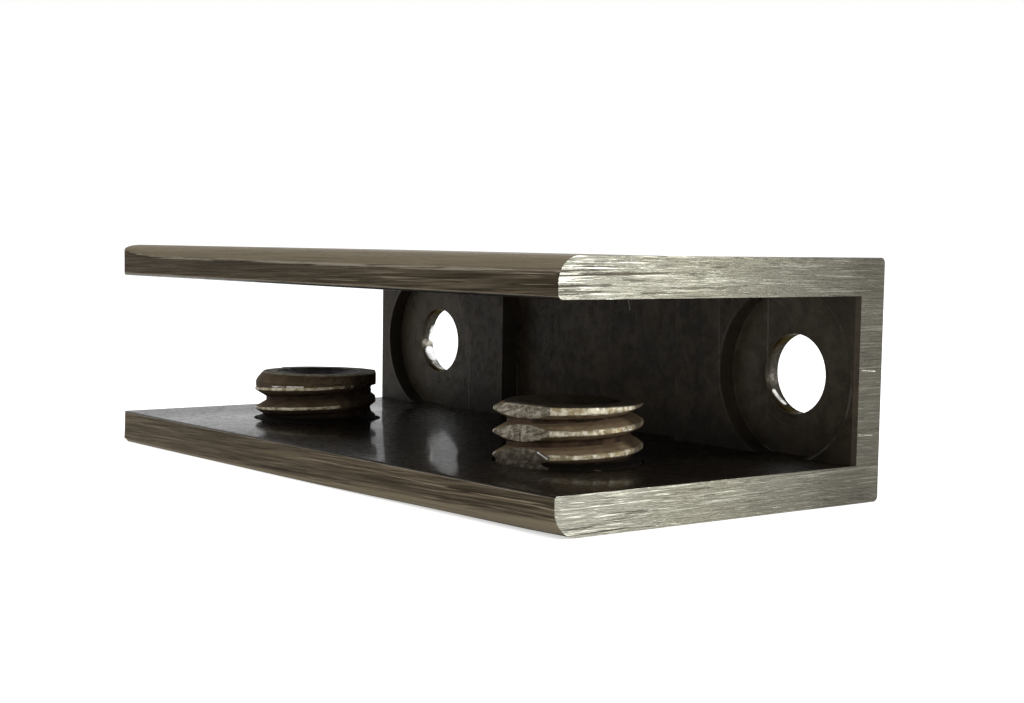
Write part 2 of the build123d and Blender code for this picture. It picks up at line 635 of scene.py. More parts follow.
@dataclass(frozen=True)
class DrawnSteel(Finish):
    """Steel with a long drawn grain under a brown film, as on the front edges of the flanges."""

    light: Colour = (0.24, 0.195, 0.135)
    middle: Colour = (0.056, 0.0425, 0.0265)
    dark: Colour = (0.0105, 0.0072, 0.0038)
    painted_sheen: Colour = (0.158, 0.131, 0.087)
    rim: Colour = (0.3, 0.27, 0.22)
    near_run: Span = (-20 * MM, 20 * MM)
    upper_flange: Span = (13.0 * MM, 13.4 * MM)

    def paint(self, pad: Canvas) -> Skin:
        """Paint the drawn faces.

        Args:
            pad: The canvas to paint on.

        Returns:
            What the shader needs.
        """
        grain = pad.grain(150.0, (0.9, 50.0, 50.0), (0.0, 0.015, 0.0), 0.1)
        figure = pad.grain(135.0, (1.0, 42.0, 42.0), (0.0, 0.04, 0.0), 0.15)
        # The figure shows more towards the near end
        near = pad.span(pad.x, *self.near_run)
        deep = pad.blend(pad.grade(near, 0.3, 0.5), self.middle, self.dark)
        base = pad.blend(figure["Streaks"], self.middle, deep)
        for tone, mask, far_share, near_share in (
            (self.light, figure["Lines"], 0.22, 0.33),
            (self.dark, pad.rest(grain["Lines"]), 0.36, 0.48),
            (self.dark, figure["Cuts"], 0.4, 0.85),
            (self.light, grain["PaintedGlints"], 0.2, 0.7),
            (self.dark, pad.span(pad.z, *self.upper_flange), 0.55, 0.3),
        ):
            base = pad.lay(base, tone, mask, pad.grade(near, far_share, near_share))
        # Where a nose is ground round, it gets a paler and evener painted sheen wherever it tilts
        # up or down: a painted reflection of the bright surroundings
        tilt = pad.times(pad.minus(grain["Lines"], 0.5), 0.05)
        lean = pad.plus(pad.rise(), tilt)
        over, under = pad.span(lean, 0.32, 0.5), pad.span(lean, -0.42, -0.3, 1.0, 0.0)
        quiet = pad.blend(0.4, self.painted_sheen, self.middle)
        film = pad.lay(self.painted_sheen, quiet, figure["Streaks"], 0.5)
        film = pad.lay(film, self.dark, grain["Cuts"], 0.25)
        base = pad.lay(base, film, pad.math("MAXIMUM", over, under), 0.92)
        # Faces that turn straight down get painted shade
        base = pad.lay(base, self.dark, pad.span(lean, -0.95, -0.75, 0.75, 0.0))
        # A painted highlight line runs where the nose's round begins, set by the tilt of the face
        off = pad.math("ABSOLUTE", pad.minus(lean, 0.4))
        edge = pad.span(off, 0.02, 0.09, 1.0, 0.0)
        base = pad.lay(base, self.rim, edge, pad.span(grain["Lines"], 0.3, 0.8, 0.1, 0.6))
        rough = pad.grade(grain["Lines"], 0.5, 0.36)
        return Skin(base, rough, grain["Height"], 0.06 * MM)


@dataclass(frozen=True)
class BoreSteel(Finish):
    """The wall of a bore: its mouth is dark, and behind that it is lighter."""

    mouth: Colour = (0.022, 0.019, 0.0145)
    bare: Colour = (0.042, 0.039, 0.033)
    edge: Span = (12.74 * MM, 12.86 * MM)

    def paint(self, pad: Canvas) -> Skin:
        """Paint the bore.

        Args:
            pad: The canvas to paint on.

        Returns:
            What the shader needs.
        """
        grime = pad.grime(400.0)
        depth = pad.plus(pad.y, pad.ragged(pad.at, 900.0, 3.0, 0.4 * MM))
        dull = pad.blend(0.5, self.bare, self.mouth)
        wall = pad.blend(grime["Dust"], self.bare, dull)
        base = pad.blend(pad.span(depth, *self.edge), self.mouth, wall)
        return Skin(base, pad.grade(grime["Dust"], 0.3, 0.5), grime["Stain"], 0.04 * MM)


@dataclass(frozen=True)
class PolishedFloor(Finish):
    """A flange's inner face: dark and glossy, with the gloss worn off towards the near end."""

    base: Colour = (0.006, 0.0042, 0.0028)
    stain: Colour = (0.0145, 0.0112, 0.0075)
    gloss_far: float = 0.64
    gloss_near: float = 0.28
    gloss_run: Span = (-22 * MM, 0.0)
    end_run: Span = (-24 * MM, -18 * MM)

    def paint(self, pad: Canvas) -> Skin:
        """Paint the face.

        Args:
            pad: The canvas to paint on.

        Returns:
            What the shader needs.
        """
        grime = pad.grime(300.0, 0.4)
        rubbed = pad.noise(pad.stretched(pad.at, (60.0, 9.0, 60.0)), 60.0, 3.0)
        gloss = pad.times(
            pad.span(pad.x, *self.gloss_run, self.gloss_far, self.gloss_near),
            pad.span(pad.x, *self.end_run, 0.66, 1.0),
            pad.span(rubbed, 0.35, 0.65, 0.82, 1.12),
            pad.grade(grime["Dust"], 1.0, 0.85),
        )
        base = pad.blend(grime["Stain"], self.base, self.stain)
        rough = pad.grade(grime["Dust"], 0.4, 0.55)
        return Skin(base, rough, pad.noise(pad.at, 500.0, 2.0), 0.002 * MM, gloss)


@dataclass(frozen=True)
class CastWeb(Finish):
    """The web's inner face: a dark cast skin with grime and speckle, paler towards both ends."""

    base: Colour = (0.012, 0.0089, 0.0058)
    light: Colour = (0.067, 0.0525, 0.0348)
    pale: Colour = (0.031, 0.0252, 0.017)
    speck: Colour = (0.08, 0.074, 0.064)
    corner: Colour = (0.006, 0.0045, 0.003)
    pale_run: Span = (12 * MM, 26 * MM)
    corner_shade_run: Span = (2.6 * MM, 5.2 * MM)

    def paint(self, pad: Canvas) -> Skin:
        """Paint the cast face.

        Args:
            pad: The canvas to paint on.

        Returns:
            What the shader needs.
        """
        grime = pad.grime(230.0, stretch=(1.0, 1.0, 0.7))
        mottle = pad.span(pad.noise(pad.at, 800.0, 5.0, 0.7), 0.38, 0.64)
        base = pad.lay(self.base, self.light, pad.plus(grime["Stain"], mottle), 0.45)
        base = pad.lay(base, self.light, grime["Dust"], 0.18)
        # Painted shade darkens the corner over the lower flange
        low = pad.span(pad.z, *self.corner_shade_run, 0.6, 0.0)
        base = pad.lay(base, self.corner, low)
        ends = pad.span(pad.math("ABSOLUTE", pad.x), *self.pale_run)
        base = pad.lay(base, self.pale, ends, pad.grade(grime["Stain"], 0.2, 0.7))
        base = pad.lay(base, self.speck, grime["Specks"], 0.3)
        rough = pad.grade(grime["Dust"], 0.38, 0.55)
        return Skin(base, rough, pad.noise(pad.at, 900.0, 4.0, 0.6), 0.02 * MM)


@dataclass(frozen=True, kw_only=True)
class ThreadSteel(Finish):
    """A set screw's steel: brown in the flanks with painted light and shade, bare on the crests
    with painted highlights, and bare on the worn flat.
    """

    screw: "SetScrew"
    # The dark tone: the thread's painted shade, and also its dark stains and strokes
    under: Colour = (0.026, 0.0158, 0.0088)
    flank: Colour = (0.36, 0.27, 0.158)
    stain: Colour = (0.13, 0.08, 0.05)
    seam_shade: Colour = (0.006, 0.0044, 0.0028)
    worn: Colour = (0.34, 0.27, 0.15)
    bare: Colour = (0.82, 0.76, 0.60)
    flat: Colour = (0.19, 0.163, 0.115)
    flat_light: Colour = (0.40, 0.36, 0.28)
    rim: Colour = (0.34, 0.31, 0.245)

    def steel(self, pad: Canvas, reach: Socket, lit: Socket) -> Socket:
        """Paint the flanks and the root of the thread.

        Args:
            pad: The canvas to paint on.
            reach: The distance from the axis.
            lit: How much a place faces the light.

        Returns:
            The colour.
        """
        crest = self.screw.crest_radius
        rise = pad.rise()
        grime = pad.grime(500.0)
        # Painted light and shade: the flanks near the crests are painted lit, more where they face
        # up, and the root gets the dark tone
        outer = pad.span(reach, crest - 0.62 * MM, crest - 0.3 * MM)
        lower = pad.times(outer, pad.span(rise, -0.3, 0.2, 0.75, 0.6))
        upper = pad.times(pad.span(rise, 0.2, 0.4), pad.grade(outer, 0.55, 1.0))
        base = pad.lay(self.under, self.flank, pad.math("MAXIMUM", lower, upper))
        base = pad.lay(base, self.under, grime["Stain"], 0.55)
        stained = pad.span(pad.noise(pad.at, 700.0), 0.42, 0.62, 0.0, 0.5)
        base = pad.lay(base, self.stain, stained)
        # Painted shade on the side away from the light, and over all by the screw's shade
        base = pad.lay(base, self.under, pad.rest(lit), 0.75)
        base = pad.lay(base, self.under, self.screw.shade)
        # Painted shade darkens the thread where the screw comes out of the flange
        above = pad.span(pad.z, 1.7 * MM, 2.1 * MM)
        below = pad.span(pad.z, 2.68 * MM, 3.0 * MM, 1.0, 0.0)
        return pad.lay(base, self.seam_shade, above, below)

    def crest(self, pad: Canvas, legs: tuple[Socket, Socket], ragged: Socket) -> Socket:
        """Find the thread's crest, which follows its helix.

        Args:
            pad: The canvas to paint on.
            legs: The distances from the axis along X and Y.
            ragged: A shift that makes edges uneven.

        Returns:
            The mask of the crest.
        """
        screw = self.screw
        turn = pad.math("DIVIDE", pad.math("ARCTAN2", legs[1], legs[0]), math.tau)
        height = pad.minus(pad.z, screw.crest_height)
        climb = pad.minus(pad.math("DIVIDE", height, screw.pitch), turn)
        # The last turn under the tip is worn wider, most of all on the +X side
        last = pad.times(
            pad.span(pad.z, screw.tip_height - 1.1 * MM, screw.tip_height - 0.7 * MM),
            pad.span(legs[0], 1.5 * MM, 4.0 * MM),
        )
        climb = pad.plus(climb, pad.times(last, 0.1))
        off = pad.math("ABSOLUTE", pad.minus(climb, pad.math("ROUND", climb)))
        widened = pad.minus(pad.times(ragged, 180.0), pad.times(last, 0.06))
        off = pad.plus(off, widened)
        return pad.span(off, screw.line, screw.line + 0.03, 1.0, 0.0)

    def worn_flat(self, pad: Canvas) -> Socket:
        """Paint the flat that wear has left, with its strokes, darker low down.

        Args:
            pad: The canvas to paint on.

        Returns:
            The colour.
        """
        strokes = pad.grain(140.0, (9.0, 9.0, 40.0), (0.0, 0.25, 0.0), 1.0)
        cuts = pad.times(strokes["Cuts"], 0.65)
        lined = pad.math("MAXIMUM", cuts, pad.span(strokes["Lines"], 0.0, 0.7, 0.55, 0.0))
        light = pad.span(pad.noise(pad.at, 2500.0, 3.0), 0.42, 0.6)
        tone = pad.lay(pad.blend(light, self.flat, self.flat_light), self.under, lined)
        low = pad.span(pad.z, 3.0 * MM, 4.2 * MM, 0.66, 0.0)
        return pad.lay(tone, self.under, low)

    def paint(self, pad: Canvas) -> Skin:
        """Paint the screw.

        Args:
            pad: The canvas to paint on.

        Returns:
            What the shader needs.
        """
        screw = self.screw
        radius, flat_at, tip = screw.crest_radius, screw.radius - screw.flat_depth, screw.tip_height
        legs = pad.minus(pad.x, screw.axis_x), pad.minus(pad.y, screw.axis_y)
        ragged = pad.ragged(pad.at, 1500.0, 3.0, 0.3 * MM)
        reach = pad.plus(pad.length(*legs), ragged)
        toward = pad.outward(*legs, screw.lit_azimuth)
        lit = pad.span(pad.plus(toward, ragged), 0.0, 0.9 * MM)
        base = self.steel(pad, reach, lit)
        # The crests are rubbed bare and painted bright as highlights, which fade away from the
        # light
        patchy = pad.span(pad.noise(pad.at, 2000.0, 4.0, 0.6), 0.38, 0.62)
        high = pad.times(
            pad.span(reach, radius - 0.12 * MM, radius - 0.04 * MM),
            self.crest(pad, legs, ragged), pad.span(lit, 0.0, 0.8, 0.12, 1.0),
        )
        rubbed = pad.blend(patchy, self.worn, self.bare)
        base = pad.lay(base, rubbed, high, 1.0 - 0.4 * screw.shade)
        out = pad.outward(*legs, screw.flat_azimuth)
        flat = pad.span(out, flat_at - 0.06 * MM, flat_at - 0.02 * MM)
        base = pad.lay(base, self.worn_flat(pad), flat)
        ring = pad.blend(patchy, self.flat, self.rim)
        ring = pad.blend(screw.top_shade, ring, self.under)
        base = pad.lay(base, ring, pad.span(pad.z, tip - 0.12 * MM, tip - 0.04 * MM))
        rough = pad.grade(pad.math("MAXIMUM", high, flat), 0.75, 0.42)
        return Skin(base, rough, pad.noise(pad.at, 1400.0, 5.0, 0.65), 0.06 * MM)


@dataclass
class ClampBody:
    """The one-piece channel: it keeps the CAD solid's form, with its sharp edges just broken."""

    half_length: float = 27.3 * MM
    front: float = -13.6 * MM
    back: float = 13.6 * MM
    web_face: float = 11.2 * MM
    floor: float = 2.45 * MM
    roof: float = 13.35 * MM
    height: float = 15.8 * MM
    hole_shift: float = 0.45 * MM
    hole_place: float = 20.5 * MM
    hole_radius: float = 2.7 * MM
    seat_radius: float = 5.85 * MM
    seat_face: float = 12.4 * MM
    front_band: float = 1.45 * MM
    upper_nose: float = 1.5 * MM
    lower_nose: float = 1.7 * MM
    far_nose: float = 0.55 * MM
    far_nose_run: float = 7.0 * MM
    sag: float = 0.2 * MM
    sag_run: float = 3.0 * MM
    sag_from: float = -4 * MM
    sag_width: float = 17 * MM
    broken_edge: float = 0.08 * MM
    tiny: float = 0.15 * MM
    weld: float = 0.001 * MM
    flat_angle: float = math.radians(0.4)
    sharp_angle: float = math.radians(28)
    # Where the long faces are cut across, so that their wear can change along the clamp
    cuts: tuple[float, ...] = (
        -27.0, -26.5, -25.8, -25.0, -24.0, -22.8, -21.0, -17.0, -12.0, -7.0,
        -2.0, 3.0, 8.0, 13.0, 18.0, 21.5, 23.5, 24.8, 25.8, 26.6,
    )
    # How deep and how high the lower nose is ground away, place by place along the clamp
    ground: tuple[Place, ...] = (
        (-27.3, 0.3, 0.45), (-24.0, 0.25, 0.5), (-18.0, 0.25, 0.7), (-10.0, 0.3, 0.9),
        (0.0, 0.4, 1.1), (5.0, 0.5, 1.2), (10.0, 0.75, 1.4), (14.0, 1.0, 1.5),
        (20.0, 1.15, 1.6), (24.0, 1.3, 1.65), (27.4, 1.7, 1.7),
    )

    @staticmethod
    def finishes() -> dict[Face, Finish]:
        """Set up the finishes with the marks that the photograph shows on them.

        Returns:
            The finish of each kind of face.
        """
        sanded = SandedEnd("sanded_end", marks=(
            Mark((27.3, 11.7, 8.6), (27.3, 13.0, 8.5), 0.06, (0.5, 0.48, 0.42), 0.7),
            Mark((27.3, 11.6, 4.45), (27.3, 12.9, 4.35), 0.05, DUST, 0.6),
        ))
        floor = PolishedFloor(
            "polished_floor", metallic=0.0, specular=0.05, coat_roughness=0.09,
            marks=tuple(
                Mark((*start, 2.45), (*end, 2.45), width, tone, strength, 0.0)
                for start, end, width, tone, strength in (
                    ((-22.3, -5.05), (-22.25, -5.0), 0.14, (0.002, 0.002, 0.002), 1.0),
                    ((-23.62, 11.61), (-23.3, 11.5), 0.12, (0.5, 0.48, 0.44), 0.9),
                    ((6.78, -10.35), (6.8, -10.3), 0.07, (0.3, 0.29, 0.26), 0.9),
                    ((20.15, -4.45), (20.35, -4.3), 0.12, (0.4, 0.3, 0.24), 0.9),
                )
            ),
        )
        web = CastWeb(
            "cast_web", metallic=0.05, specular=0.08,
            rings=(
                # The light ring is the seat rim's burr with a painted highlight
                Ring(20.95, 7.9, 5.98, 0.12, (0.1, 0.094, 0.078), 0.8),
                Ring(-20.05, 7.9, 5.98, 0.1, (0.09, 0.084, 0.07), 0.6),
            ),
            marks=(
                Mark((14.85, 11.2, 13.4), (14.95, 11.2, 7.9), 0.09, (0.085, 0.08, 0.066), 0.9),
                Mark((-14.1, 11.2, 7.4), (-14.1, 11.2, 2.6), 0.09, (0.11, 0.1, 0.08), 0.9, 0.3),
                Mark((15.95, 11.2, 5.2), (16.5, 11.2, 4.35), 0.13, DUST, 0.9),
                Mark((-9.55, 12.7, 6.6), (-9.55, 12.7, 2.6), 0.1, (0.09, 0.083, 0.068), 0.8, 0.3),
                Mark((8.5, 12.7, 11.9), (8.75, 12.7, 4.6), 0.2, (0.04, 0.035, 0.028), 0.6),
                Mark((3.6, 12.7, 12.9), (3.97, 12.7, 11.5), 0.05, (0.35, 0.33, 0.3), 0.9, 0.0),
            ),
        )
        seat = CastWeb(
            "head_seat", metallic=0.05, specular=0.09, base=(0.029, 0.0228, 0.0154),
            light=(0.102, 0.083, 0.057), pale=(0.066, 0.055, 0.0385),
            rings=(
                # The light rings at the rim's radius are the burrs with a painted highlight
                Ring(20.95, 7.9, 5.72, 0.09, (0.15, 0.138, 0.112), 0.8),
                Ring(20.95, 7.9, 3.55, 0.09, (0.08, 0.073, 0.058), 0.6),
                Ring(20.95, 7.9, 2.9, 0.16, (0.008, 0.007, 0.005), 0.6),
                Ring(-20.05, 7.9, 5.72, 0.1, (0.09, 0.083, 0.068), 0.7),
                Ring(-20.05, 7.9, 3.6, 0.13, (0.01, 0.009, 0.007), 0.7),
            ),
            marks=(
                Mark((18.3, 12.4, 13.4), (18.42, 12.4, 8.6), 0.07, (0.16, 0.15, 0.125), 0.9, 0.3),
                Mark((18.42, 12.4, 8.6), (18.56, 12.4, 4.8), 0.06, (0.08, 0.073, 0.06), 0.6),
                Mark((-17.1, 12.4, 5.9), (-17.1, 12.4, 2.5), 0.1, (0.1, 0.09, 0.07), 0.7, 0.3),
                Mark((18.5, 12.4, 13.1), (19.9, 12.4, 12.4), 0.13, (0.11, 0.1, 0.08), 0.6),
                Mark((25.19, 12.4, 4.55), (25.22, 12.4, 4.5), 0.13, DUST, 0.9, 0.0),
            ),
        )
        wall_tone = (0.052, 0.042, 0.03)
        wall = CastWeb(
            "seat_wall", metallic=0.1, specular=0.15, base=(0.034, 0.0268, 0.0187),
            light=wall_tone, pale=wall_tone,
        )
        bore = BoreSteel("bore", edge_tint=(0.42, 0.4, 0.35), marks=(
            Mark((18.62, 12.92, 6.5), (19.3, 13.2, 5.76), 0.24, BARE_METAL, 0.95, 0.4),
            # In the far bore the near-white marks are painted light falling in through the hole's
            # open back; the dark mark among them is a notch
            Mark((-22.7, 13.58, 8.9), (-22.74, 13.5, 7.9), 0.4, (0.8, 0.8, 0.78), 0.9, 0.5),
            Mark((-22.55, 13.2, 6.75), (-22.3, 13.3, 6.3), 0.6, (0.95, 0.95, 0.94), 1.0, 0.25),
            Mark((-22.75, 12.8, 7.62), (-22.71, 13.6, 7.47), 0.34, (0.12, 0.113, 0.096), 0.8, 0.4),
            Mark((-21.7, 13.2, 5.8), (-21.0, 13.4, 5.4), 0.4, (0.6, 0.59, 0.56), 0.8, 0.5),
        ))
        front = DrawnSteel("drawn_front", edge_tint=(0.8, 0.77, 0.72))
        skin = DrawnSteel("outer_skin")
        return dict(zip(Face, (sanded, front, skin, floor, web, seat, wall, bore)))

    def kind(self, centre: Vector, normal: Vector) -> Face:
        """Say which finish a face has.

        Args:
            centre: The middle of the face.
            normal: Its normal.

        Returns:
            The finish.
        """
        tiny = self.tiny
        across = abs(centre.x - self.hole_shift) - self.hole_place
        from_hole = math.hypot(across, centre.z - self.height / 2)
        in_gap = self.floor < centre.z < self.roof
        if abs(centre.x) > self.half_length - tiny and abs(normal.x) > 0.9:
            return Face.SANDED_END
        if centre.y > self.web_face + tiny and in_gap and normal.y < 0.5:
            if from_hole < self.hole_radius + tiny and centre.y > self.seat_face + tiny:
                return Face.BORE
            if normal.y > -0.5 and abs(centre.x) < self.half_length - tiny:
                return Face.SEAT_WALL
            return Face.HEAD_SEAT if from_hole < self.seat_radius + tiny else Face.CAST_WEB
        if centre.y > self.web_face - tiny and in_gap and normal.y < -0.5:
            return Face.CAST_WEB
        near_gap = self.floor - tiny < centre.z < self.roof + tiny
        if near_gap and abs(normal.z) > 0.5 and centre.y < self.back - tiny:
            return Face.POLISHED_FLOOR
        return Face.DRAWN_FRONT if centre.y < self.front + self.front_band else Face.OUTER_SKIN

    def build(self) -> bpy.types.Object:
        """Make the piece from the CAD solid's form.

        Returns:
            The piece.
        """
        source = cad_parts["clamp_body"].data
        corners = [vertex.co[:] for vertex in source.vertices]
        mesh = bpy.data.meshes.new("clamp_channel")
        mesh.from_pydata(corners, [], [polygon.vertices[:] for polygon in source.polygons])
        work = bmesh.new()
        work.from_mesh(mesh)
        bmesh.ops.remove_doubles(work, verts=work.verts, dist=self.weld)
        bmesh.ops.dissolve_limit(
            work, angle_limit=self.flat_angle, verts=work.verts, edges=work.edges
        )
        for place in self.cuts:
            whole = work.verts[:] + work.edges[:] + work.faces[:]
            cut_at = (place * MM, 0, 0)
            bmesh.ops.bisect_plane(work, geom=whole, plane_co=cut_at, plane_no=(1, 0, 0))
        for vertex in work.verts:
            self.wear(vertex.co)
        for face in work.faces:
            face.smooth = True
            face.material_index = self.kind(face.calc_center_median(), face.normal).value
        work.to_mesh(mesh)
        work.free()
        mesh.set_sharp_from_angle(angle=self.sharp_angle)
        piece = bpy.data.objects.new("clamp_channel", mesh)
        bpy.context.scene.collection.objects.link(piece)
        bevel = piece.modifiers.new("broken_edges", "BEVEL")
        bevel.width = self.broken_edge
        bevel.segments = 2
        bevel.limit_method = "ANGLE"
        bevel.angle_limit = self.sharp_angle
        bevel.harden_normals = True
        return piece

    def lower_form(self, along: float) -> Place:
        """Give the lower nose's form at a place along the clamp.

        Args:
            along: The place along the clamp, in millimetres.

        Returns:
            The solid's nose radius, and how deep and how high the ground nose is there.
        """
        for (before, *from_form), (after, *to_form) in zip(self.ground, self.ground[1:]):
            if before <= along < after:
                share = (along - before) / (after - before)
                deep, high = (
                    (start + (end - start) * share) * MM
                    for start, end in zip(from_form, to_form)
                )
                return self.lower_nose, deep, high
        return self.lower_nose, self.lower_nose, self.lower_nose

    def wear(self, place: Vector) -> None:
        """Move a point of the channel to where hand grinding has left it in the photograph.

        Args:
            place: The point, which is changed.
        """
        from_far = min(1.0, (place.x + self.half_length) / self.far_nose_run)
        less = (self.upper_nose - self.far_nose) * math.sin(from_far * math.pi / 2)
        upper = (self.upper_nose, self.upper_nose, self.far_nose + less)
        lower = self.lower_form(place.x / MM)
        for sign, base, (nose, deep, high) in ((1, self.height, upper), (-1, 0.0, lower)):
            inward = (self.front + nose - place.y) / nose
            outward = 1 - sign * (base - place.z) / nose
            if inward > -0.001 and outward > -0.001 and math.hypot(inward, outward) > 0.9:
                place.y = self.front + deep * (1 - inward)
                place.z = base - sign * high * (1 - outward)
        if place.z > self.roof:
            from_near = held((self.half_length - place.x) / self.sag_run)
            behind = held((place.y - self.sag_from) / self.sag_width)
            high_up = (place.z - self.roof) / (self.height - self.roof)
            place.z -= self.sag * from_near * behind * high_up

    def dress(self, piece: bpy.types.Object, effects: Effects) -> None:
        """Give the piece its materials.

        Args:
            piece: The piece.
            effects: The shared node groups.
        """
        finishes = self.finishes()
        for face in Face:
            piece.data.materials.append(finishes[face].make(effects))

    def make(self, effects: Effects) -> None:
        """Build, dress and seat the piece.

        Args:
            effects: The shared node groups.
        """
        piece = self.build()
        self.dress(piece, effects)
        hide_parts("clamp_body")
        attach(piece, "clamp")
        log.info("%s rides on clamp with %d faces", piece.name, len(piece.data.polygons))


@dataclass(frozen=True, kw_only=True)
class SetScrew:
    """A cup point set screw: a worn thread, a cup in its tip and a hexagon socket below."""

    node: str
    body: str
    axis_x: float
    tip_height: float
    crest_height: float
    flat_azimuth: float
    flat_depth: float
    torn_azimuth: float
    torn_depth: float
    filled_azimuth: float
    filled: float
    worn_down: float
    shade: float
    lit_azimuth: float
    line: float
    top_shade: float
    cup_base: Colour
    cup_light: Colour
    marks: tuple[Mark, ...]
    axis_y: float = -2.7 * MM
    length: float = 6.0 * MM
    radius: float = 4.9 * MM
    pitch: float = 1.5 * MM
    thread_depth: float = 0.9 * MM
    crest_half: float = 0.094 * MM
    flank_slope: float = math.tan(math.radians(30))
    tip_run_width: float = 0.25 * MM
    tip_run_height: float = 0.3 * MM
    foot_run: float = 0.5 * MM
    cup_radius: float = 3.2 * MM
    cup_depth: float = 1.2 * MM
    cup_roughness: float = 0.02 * MM
    socket_half: float = 2.5 * MM
    socket_depth: float = 3.2 * MM
    socket_chamfer: float = 0.3 * MM
    drill_point: float = 0.3 * MM
    # The last crest under the tip, which is spread downwards
    spread: float = 0.24 * MM
    spread_under: float = 0.95 * MM
    spread_azimuth: float = math.radians(-10)
    worn_azimuth: float = math.radians(-20)
    # Dirt fills the thread at the flange's face
    packed_to: float = 2.72 * MM
    packed_run: float = 0.2 * MM
    packed_under: float = 0.15 * MM
    sharp_angle: float = math.radians(32)
    end_gap: float = 0.01 * MM
    # The rows of the mesh: columns round the screw, and heights from a crest to a root
    columns: int = 288
    steps: tuple[float, ...] = (0.0, 0.5, 1.0, 1.25, 1.6, 2.2, 2.8, 3.4, 4.0, 4.6, 5.2, 5.8)
    steps_to_root: float = 6.5

    @property
    def bottom(self) -> float:
        """Give the height of the screw's lower end."""
        return self.tip_height - self.length

    @property
    def crest_radius(self) -> float:
        """Give the radius that wear has left of the crests."""
        return self.radius - 0.8 * self.worn_down

    def profile(self, off: float) -> float:
        """Give the thread's radius at a height from the middle of a crest.

        Args:
            off: The height from the nearest crest's middle.

        Returns:
            The radius there, with the crest rubbed round.
        """
        blunt = self.crest_half / self.flank_slope
        fall = math.hypot(off / self.flank_slope, blunt) - blunt
        return self.radius - min(fall, self.thread_depth)

    def worn(self, angle: float, z: float) -> float:
        """Give the worn thread's radius.

        Args:
            angle: The angle about the screw's axis.
            z: The height over the underside.

        Returns:
            The radius.
        """
        climb = z - self.crest_height - self.pitch * angle / math.tau
        off = (climb + self.pitch / 2) % self.pitch - self.pitch / 2
        if off < 0 and z > self.tip_height - self.spread_under:
            off = min(0.0, off + self.spread * towards(angle, self.spread_azimuth))
        place = Vector((math.cos(angle), math.sin(angle), z / self.radius))
        bump = uneven(place * 3.0 + Vector((self.axis_x * 900, 0, 0)))
        fine = uneven(place * 11.0 + Vector((0, self.axis_x * 900, 0)))
        radius = self.profile(off)
        # The thread is clogged under the tip, on the side of filled_azimuth
        under_tip = (self.tip_height - z) / MM
        near_tip = held((1.4 - under_tip) / 0.3)
        way = towards(angle, self.filled_azimuth)
        cone = self.radius - 0.08 * MM - 0.6 * MM * max(0.0, 1 - under_tip / 0.8) ** 1.4
        radius += max(0.0, cone - radius) * self.filled * near_tip * min(1.0, way * 1.6)
        # The crests are rubbed down, and torn on the side of torn_azimuth
        root = self.radius - self.thread_depth
        share = max(0.0, (radius - root) / self.thread_depth)
        rubbed = 0.25 + 0.75 * towards(angle, self.worn_azimuth)
        radius = min(radius, self.radius - self.worn_down * rubbed * (0.75 + 0.45 * bump))
        radius += (0.05 * bump + 0.035 * fine) * MM * share
        square = towards(angle, self.torn_azimuth)
        torn = square ** 2
        rough = 0.35 + 1.0 * abs(bump) + 0.9 * abs(fine)
        radius -= self.torn_depth * torn * share * rough
        if self.filled and way > 0.3 and near_tip > 0.9:
            radius = min(radius, max(cone, root))
        clogged = self.radius - (0.65 + 0.5 * abs(bump) + 0.25 * abs(fine)) * MM
        radius += max(0.0, clogged - radius) * self.filled * min(1.0, 1.5 * torn)
        # Dirt is packed into the thread where it comes out of the flange
        packed = held((self.packed_to - z) / self.packed_run)
        radius += max(0.0, self.radius - self.packed_under - radius) * packed
        # Both ends run out in chamfers, the tip's less where it is torn
        corner = self.filled * square ** 0.5 if under_tip < 0.72 else 0.0
        radius += max(0.0, self.radius - (0.03 + 0.2 * abs(fine)) * MM - radius) * corner
        slope = self.tip_run_width / self.tip_run_height * (1 - max(corner, 0.75 * square))
        past = max(0.0, z - (self.tip_height - self.tip_run_height))
        radius = min(radius, self.radius - past * slope)
        radius = min(radius, self.radius - max(0.0, self.bottom + self.foot_run - z))
        # The flat that wear has left
        facing = math.cos(angle - self.flat_azimuth)
        if facing > 0.2:
            radius = min(radius, (self.radius - self.flat_depth) / facing)
        return min(radius, self.radius)

    def build(self) -> bpy.types.Object:
        """Make the screw's mesh, whose rows follow the helix.

        Returns:
            The piece.
        """
        half = [step * self.pitch / 2 / self.steps_to_root for step in self.steps]
        offs = [-self.pitch / 2] + [-value for value in reversed(half[1:])] + half
        first = math.floor((self.bottom - self.crest_height) / self.pitch) - 2
        turns = math.ceil(self.length / self.pitch) + 4
        middle = Vector((self.axis_x, self.axis_y, 0))
        work = bmesh.new()
        columns: list[Verts] = []
        tips: Verts = []
        feet: Verts = []
        for column in range(self.columns):
            angle = math.tau * column / self.columns
            way = Vector((math.cos(angle), math.sin(angle), 0))
            for z, edge in ((self.bottom, feet), (self.tip_height, tips)):
                reach = way * self.worn(angle, z)
                edge.append(work.verts.new(middle + reach + Vector((0, 0, z))))
            line = []
            for turn in range(turns):
                for off in offs:
                    climb = self.pitch * (angle / math.tau + first + turn)
                    z = self.crest_height + climb + off
                    if z <= self.bottom + self.end_gap:
                        line.append(feet[-1])
                    elif z >= self.tip_height - self.end_gap:
                        line.append(tips[-1])
                    else:
                        reach = way * self.worn(angle, z)
                        line.append(work.verts.new(middle + reach + Vector((0, 0, z))))
            columns.append(line)
        for column, here in enumerate(columns):
            following = columns[(column + 1) % self.columns]
            shift = len(offs) if column == self.columns - 1 else 0
            for row in range(len(here) - 1 - shift):
                there = row + shift
                corners = here[row], following[there], following[there + 1], here[row + 1]
                face = list(dict.fromkeys(corners))
                if len(face) > 2:
                    work.faces.new(face)
        self.close(work, tips, True)
        self.close(work, feet, False)
        bmesh.ops.recalc_face_normals(work, faces=work.faces)
        for face in work.faces:
